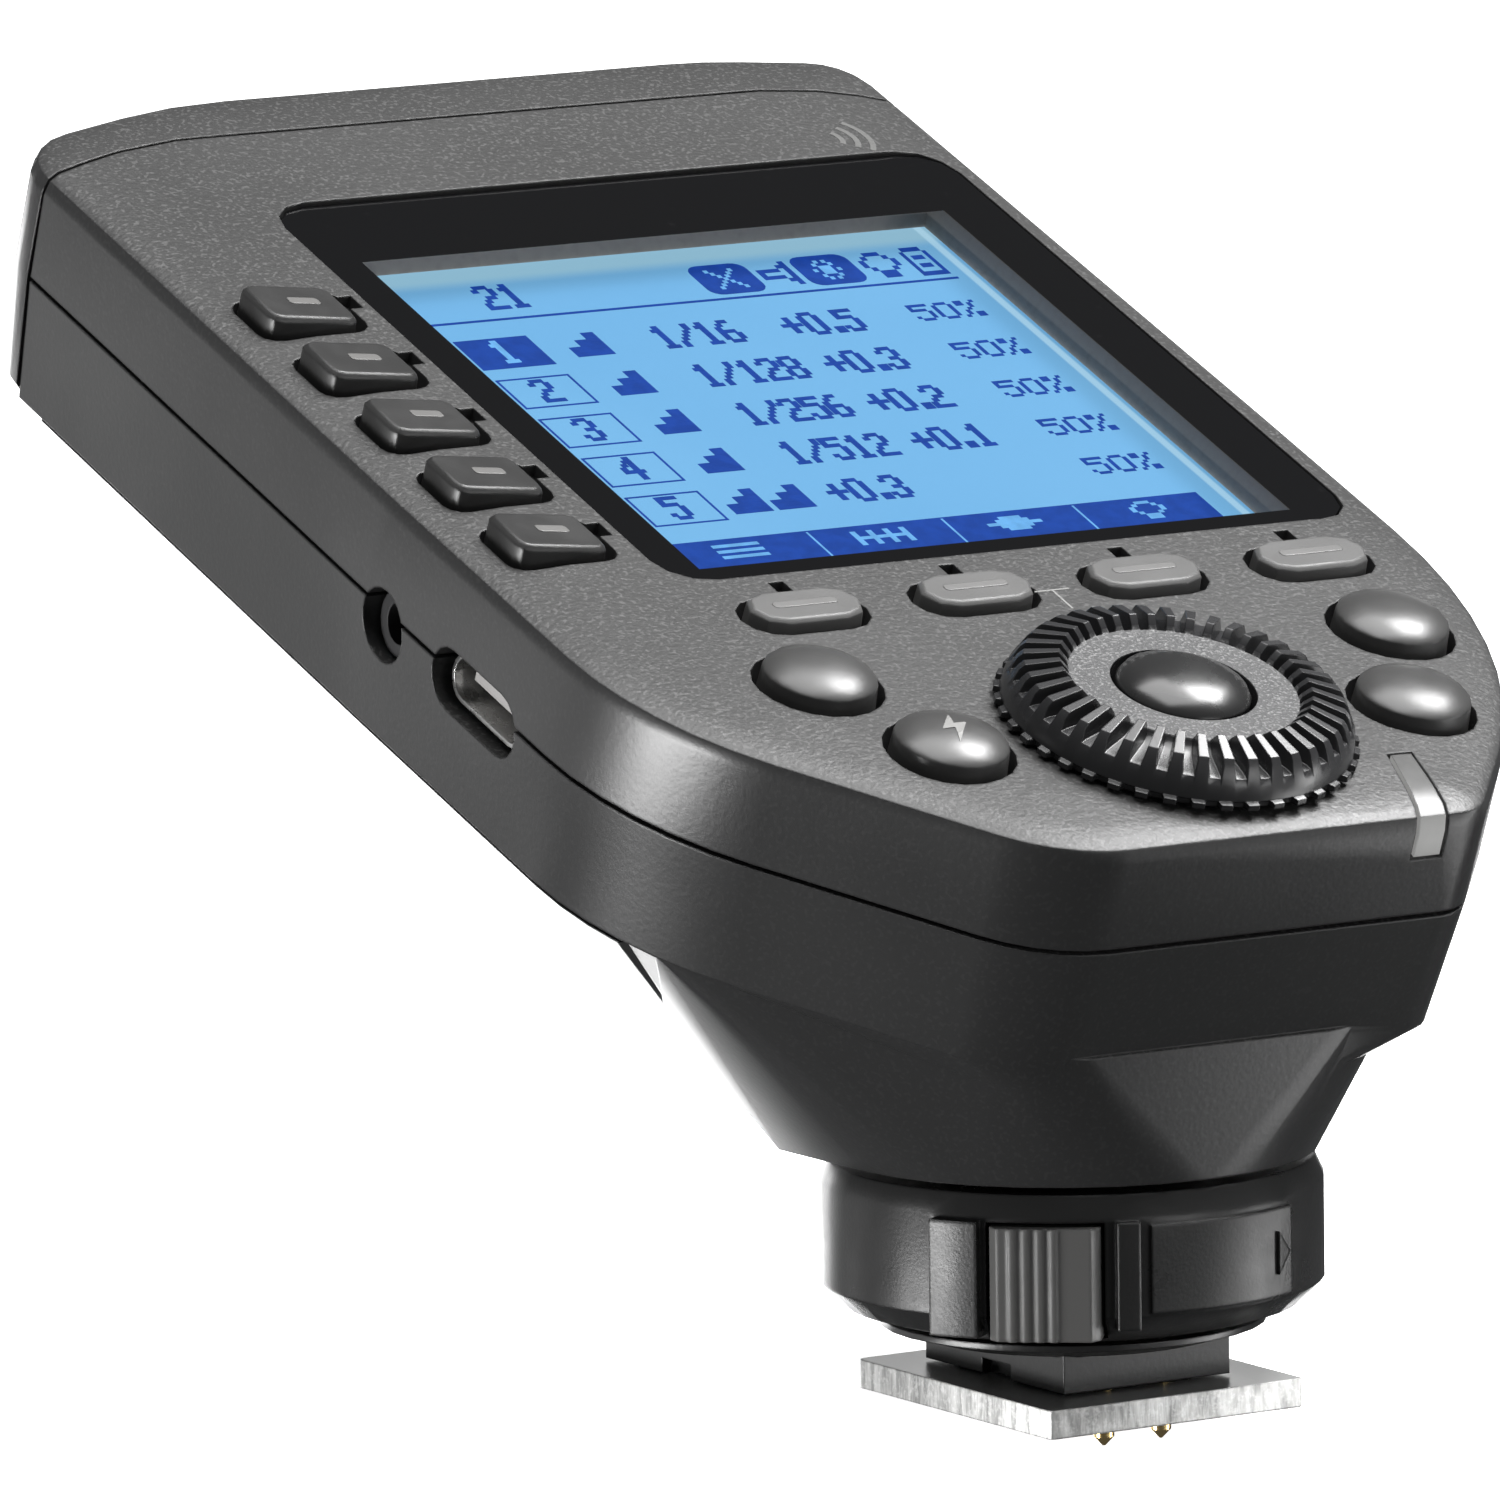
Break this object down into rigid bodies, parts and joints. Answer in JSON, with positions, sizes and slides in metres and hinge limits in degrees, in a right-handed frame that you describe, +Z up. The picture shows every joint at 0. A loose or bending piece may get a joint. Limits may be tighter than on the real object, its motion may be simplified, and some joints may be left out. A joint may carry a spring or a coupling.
{
  "type": "wireless flash trigger",
  "caption": "Camera-top radio flash trigger: tilted flat body with a display, side keys, round buttons and a ribbed dial, on a quick-lock hot-shoe foot.",
  "frame": {"origin": "middle of the underside of the shoe plate", "axes": "+Z up out of the camera's shoe, +Y the way the foot slides in, away from the viewer, +X to the viewer's right"},
  "size_m": [0.0652, 0.102, 0.0769],
  "materials": {
    "antenna_cap": "fine grained charcoal",
    "antenna_coil": "gold plated",
    "backlight": "matte grey",
    "battery_bridge": "plated",
    "battery_cell_1": "printed wrap",
    "battery_cell_2": "printed wrap",
    "battery_door": "fine grained charcoal",
    "bottom_shell": "fine grained charcoal",
    "buzzer": "matte black",
    "case_screw_1": "plated",
    "case_screw_2": "plated",
    "case_screw_3": "plated",
    "case_screw_4": "plated",
    "contact_pin_1": "gold plated",
    "contact_pin_2": "gold plated",
    "contact_pin_3": "gold plated",
    "contact_pin_4": "gold plated",
    "contact_pin_centre": "gold plated",
    "control_board": "green solder mask",
    "control_dial": "satin dark grey",
    "display_window": "clear with a black border",
    "door_hinge_pin": "plated",
    "encoder_body": "matte black",
    "flash_button": "satin dark grey",
    "foot_neck": "matte black",
    "function_button_1": "satin mid grey",
    "function_button_2": "satin mid grey",
    "function_button_3": "satin mid grey",
    "function_button_4": "satin mid grey",
    "group_button_1": "satin dark grey",
    "group_button_2": "satin dark grey",
    "group_button_3": "satin dark grey",
    "group_button_4": "satin dark grey",
    "group_button_5": "satin dark grey",
    "group_key_board": "green solder mask",
    "group_key_membrane": "milky grey",
    "key_membrane": "milky grey",
    "lcd_frame": "matte grey",
    "lcd_panel": "backlit light blue",
    "lock_pin": "plated",
    "lock_ring": "fine grained charcoal",
    "main_board": "green solder mask",
    "menu_button": "satin dark grey",
    "mode_button": "satin dark grey",
    "pin_insulator": "matte black",
    "plate_screw_1": "plated",
    "plate_screw_2": "plated",
    "power_switch": "satin dark grey",
    "radio_module": "plated",
    "release_button": "satin light grey",
    "set_button": "satin dark grey",
    "shoe_plate": "plated",
    "status_light_pipe": "milky grey",
    "sync_jack": "matte black",
    "terminal_minus": "plated",
    "terminal_plus": "plated",
    "top_shell": "fine grained charcoal",
    "usb_port": "plated",
    "usb_tongue": "milky grey",
    "zoom_button": "satin dark grey"
  },
  "bodies": {
    "housing": {"top_shell": "top_shell", "bottom_shell": "bottom_shell", "antenna_cap": "antenna_cap", "door_hinge_pin": "door_hinge_pin", "status_light_pipe": "status_light_pipe", "display_window": "display_window", "lcd_frame": "lcd_frame", "lcd_panel": "lcd_panel", "backlight": "backlight", "encoder_body": "encoder_body", "main_board": "main_board", "control_board": "control_board", "key_membrane": "key_membrane", "group_key_board": "group_key_board", "group_key_membrane": "group_key_membrane", "radio_module": "radio_module", "buzzer": "buzzer", "antenna_coil": "antenna_coil", "sync_jack": "sync_jack", "usb_port": "usb_port", "usb_tongue": "usb_tongue", "battery_cell_1": "battery_cell_1", "battery_cell_2": "battery_cell_2", "battery_bridge": "battery_bridge", "terminal_plus": "terminal_plus", "terminal_minus": "terminal_minus", "foot_neck": "foot_neck", "shoe_plate": "shoe_plate", "pin_insulator": "pin_insulator", "plate_screw_1": "plate_screw_1", "plate_screw_2": "plate_screw_2", "case_screw_1": "case_screw_1", "case_screw_2": "case_screw_2", "case_screw_3": "case_screw_3", "case_screw_4": "case_screw_4"},
    "group_button_1_body": {"group_button_1": "group_button_1"},
    "group_button_2_body": {"group_button_2": "group_button_2"},
    "group_button_3_body": {"group_button_3": "group_button_3"},
    "group_button_4_body": {"group_button_4": "group_button_4"},
    "group_button_5_body": {"group_button_5": "group_button_5"},
    "function_button_1_body": {"function_button_1": "function_button_1"},
    "function_button_2_body": {"function_button_2": "function_button_2"},
    "function_button_3_body": {"function_button_3": "function_button_3"},
    "function_button_4_body": {"function_button_4": "function_button_4"},
    "mode_button_body": {"mode_button": "mode_button"},
    "flash_button_body": {"flash_button": "flash_button"},
    "menu_button_body": {"menu_button": "menu_button"},
    "zoom_button_body": {"zoom_button": "zoom_button"},
    "set_button_body": {"set_button": "set_button"},
    "dial_body": {"control_dial": "control_dial"},
    "lock_ring_body": {"lock_ring": "lock_ring"},
    "release_body": {"release_button": "release_button"},
    "lock_pin_body": {"lock_pin": "lock_pin"},
    "contact_pin_centre_body": {"contact_pin_centre": "contact_pin_centre"},
    "contact_pin_1_body": {"contact_pin_1": "contact_pin_1"},
    "contact_pin_2_body": {"contact_pin_2": "contact_pin_2"},
    "contact_pin_3_body": {"contact_pin_3": "contact_pin_3"},
    "contact_pin_4_body": {"contact_pin_4": "contact_pin_4"},
    "power_switch_body": {"power_switch": "power_switch"},
    "door_body": {"battery_door": "battery_door"}
  },
  "joints": [
    {"name": "group_button_1_press", "type": "slide", "parent": "housing", "child": "group_button_1_body", "axis": [0, 0.3567, -0.9342], "range_m": [0, 0.0005], "stiffness_N_per_m": 2000, "springref_m": -0.0001},
    {"name": "group_button_2_press", "type": "slide", "parent": "housing", "child": "group_button_2_body", "axis": [0, 0.3567, -0.9342], "range_m": [0, 0.0005], "stiffness_N_per_m": 2000, "springref_m": -0.0001},
    {"name": "group_button_3_press", "type": "slide", "parent": "housing", "child": "group_button_3_body", "axis": [0, 0.3567, -0.9342], "range_m": [0, 0.0005], "stiffness_N_per_m": 2000, "springref_m": -0.0001},
    {"name": "group_button_4_press", "type": "slide", "parent": "housing", "child": "group_button_4_body", "axis": [0, 0.3567, -0.9342], "range_m": [0, 0.0005], "stiffness_N_per_m": 2000, "springref_m": -0.0001},
    {"name": "group_button_5_press", "type": "slide", "parent": "housing", "child": "group_button_5_body", "axis": [0, 0.3567, -0.9342], "range_m": [0, 0.0005], "stiffness_N_per_m": 2000, "springref_m": -0.0001},
    {"name": "function_button_1_press", "type": "slide", "parent": "housing", "child": "function_button_1_body", "axis": [0, 0.3567, -0.9342], "range_m": [0, 0.0005], "stiffness_N_per_m": 2000, "springref_m": -0.0001},
    {"name": "function_button_2_press", "type": "slide", "parent": "housing", "child": "function_button_2_body", "axis": [0, 0.3567, -0.9342], "range_m": [0, 0.0005], "stiffness_N_per_m": 2000, "springref_m": -0.0001},
    {"name": "function_button_3_press", "type": "slide", "parent": "housing", "child": "function_button_3_body", "axis": [0, 0.3567, -0.9342], "range_m": [0, 0.0005], "stiffness_N_per_m": 2000, "springref_m": -0.0001},
    {"name": "function_button_4_press", "type": "slide", "parent": "housing", "child": "function_button_4_body", "axis": [0, 0.3567, -0.9342], "range_m": [0, 0.0005], "stiffness_N_per_m": 2000, "springref_m": -0.0001},
    {"name": "mode_button_press", "type": "slide", "parent": "housing", "child": "mode_button_body", "axis": [0, 0.3567, -0.9342], "range_m": [0, 0.0005], "stiffness_N_per_m": 2000, "springref_m": -0.0001},
    {"name": "flash_button_press", "type": "slide", "parent": "housing", "child": "flash_button_body", "axis": [0, 0.3567, -0.9342], "range_m": [0, 0.0005], "stiffness_N_per_m": 2000, "springref_m": -0.0001},
    {"name": "menu_button_press", "type": "slide", "parent": "housing", "child": "menu_button_body", "axis": [0, 0.3567, -0.9342], "range_m": [0, 0.0005], "stiffness_N_per_m": 2000, "springref_m": -0.0001},
    {"name": "zoom_button_press", "type": "slide", "parent": "housing", "child": "zoom_button_body", "axis": [0, 0.3567, -0.9342], "range_m": [0, 0.0005], "stiffness_N_per_m": 2000, "springref_m": -0.0001},
    {"name": "set_button_press", "type": "slide", "parent": "housing", "child": "set_button_body", "axis": [0, 0.3567, -0.9342], "range_m": [0, 0.0005], "stiffness_N_per_m": 2000, "springref_m": -0.0001},
    {"name": "dial_turn", "type": "hinge", "parent": "housing", "child": "dial_body", "pos_m": [0.0012, -0.00967, 0.04297], "axis": [0, -0.3567, 0.9342], "continuous": true},
    {"name": "lock_ring_turn", "type": "hinge", "parent": "housing", "child": "lock_ring_body", "pos_m": [0, 0.0006, 0.01], "axis": [0, 0, 1], "range_deg": [0, 60]},
    {"name": "release_press", "type": "slide", "parent": "lock_ring_body", "child": "release_body", "axis": [0.6361, 0.7716, 0], "range_m": [0, 0.001], "stiffness_N_per_m": 800, "springref_m": -0.0002},
    {"name": "lock_pin_drop", "type": "slide", "parent": "housing", "child": "lock_pin_body", "axis": [0, 0, -1], "range_m": [0, 0.00141]},
    {"name": "contact_pin_centre_press", "type": "slide", "parent": "housing", "child": "contact_pin_centre_body", "axis": [0, 0, 1], "range_m": [0, 0.0012], "stiffness_N_per_m": 300, "springref_m": -0.0005},
    {"name": "contact_pin_1_press", "type": "slide", "parent": "housing", "child": "contact_pin_1_body", "axis": [0, 0, 1], "range_m": [0, 0.0012], "stiffness_N_per_m": 300, "springref_m": -0.0005},
    {"name": "contact_pin_2_press", "type": "slide", "parent": "housing", "child": "contact_pin_2_body", "axis": [0, 0, 1], "range_m": [0, 0.0012], "stiffness_N_per_m": 300, "springref_m": -0.0005},
    {"name": "contact_pin_3_press", "type": "slide", "parent": "housing", "child": "contact_pin_3_body", "axis": [0, 0, 1], "range_m": [0, 0.0012], "stiffness_N_per_m": 300, "springref_m": -0.0005},
    {"name": "contact_pin_4_press", "type": "slide", "parent": "housing", "child": "contact_pin_4_body", "axis": [0, 0, 1], "range_m": [0, 0.0012], "stiffness_N_per_m": 300, "springref_m": -0.0005},
    {"name": "power_switch_slide", "type": "slide", "parent": "housing", "child": "power_switch_body", "axis": [0, 0.9342, 0.3567], "range_m": [0, 0.003]},
    {"name": "battery_door_swing", "type": "hinge", "parent": "housing", "child": "door_body", "pos_m": [0, 0.07353, 0.0544], "axis": [1, 0, 0], "range_deg": [0, 85]}
  ],
  "couplings": [
    {"joint": "lock_pin_drop", "follows": "lock_ring_turn", "m_per_rad": 0.001337}
  ]
}
